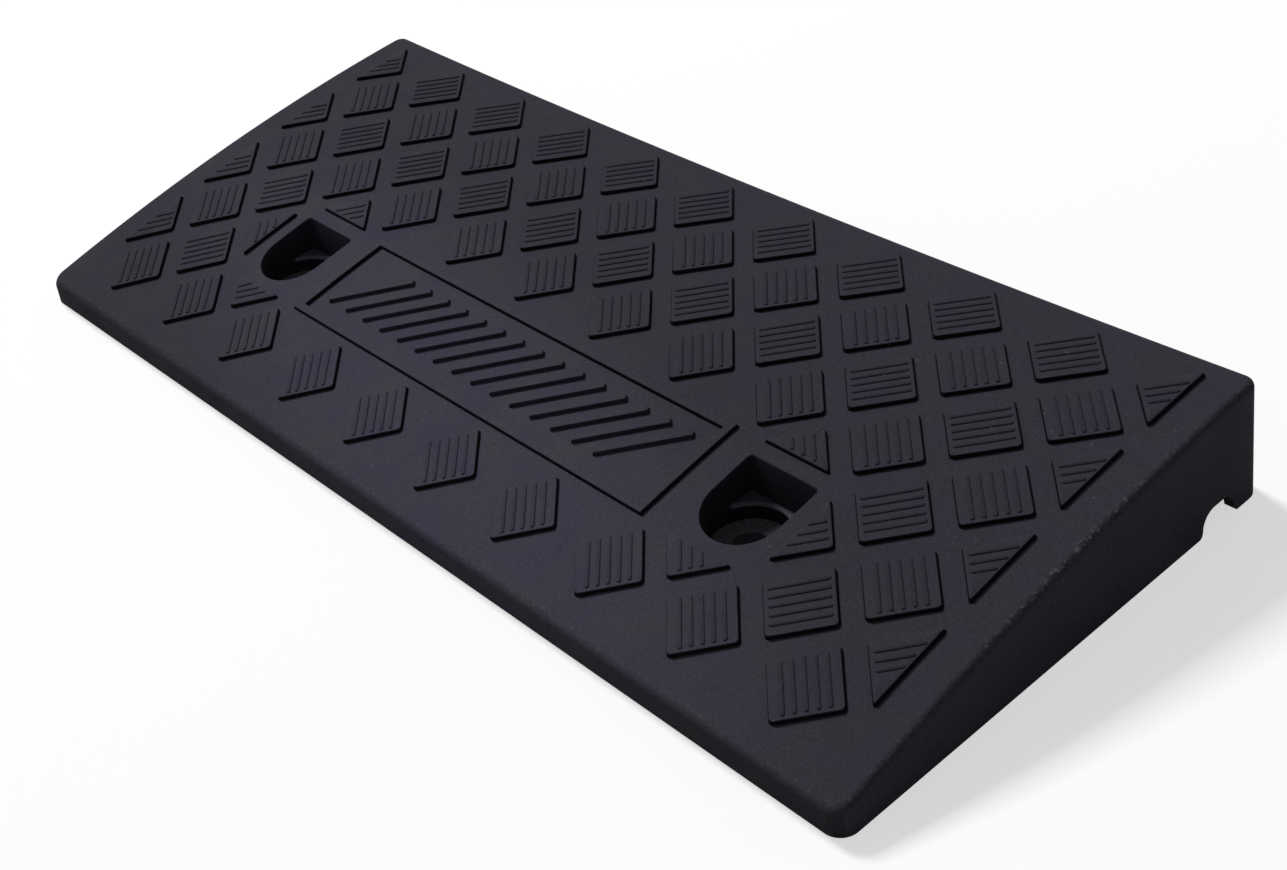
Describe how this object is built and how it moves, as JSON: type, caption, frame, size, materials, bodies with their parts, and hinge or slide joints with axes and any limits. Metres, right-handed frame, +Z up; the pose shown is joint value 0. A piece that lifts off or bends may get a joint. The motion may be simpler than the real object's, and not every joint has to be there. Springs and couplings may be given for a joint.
{
  "type": "kerb ramp",
  "caption": "Wedge-shaped kerb ramp with a crowned, padded deck, a raised frame, bolt pockets with bushes, a ribbed hollow underside and a cable notch.",
  "frame": {"origin": "middle of the ramp's footprint, on the ground that its feet stand on", "axes": "+X along the kerb, +Y up the slope towards the kerb, +Z up"},
  "size_m": [0.49, 0.212, 0.0488],
  "materials": {
    "moulding": "matt black moulded plastic with a fine grain",
    "bush": "black-coated steel",
    "foot_rubber": "matt black rubber"
  },
  "bodies": {
    "root": {"ramp_body": "moulding", "bolt_bush_left": "bush", "bolt_bush_right": "bush", "foot_front_left": "foot_rubber", "foot_front_middle": "foot_rubber", "foot_front_right": "foot_rubber", "foot_rear_left": "foot_rubber", "foot_rear_middle": "foot_rubber", "foot_rear_right": "foot_rubber"}
  },
  "joints": []
}
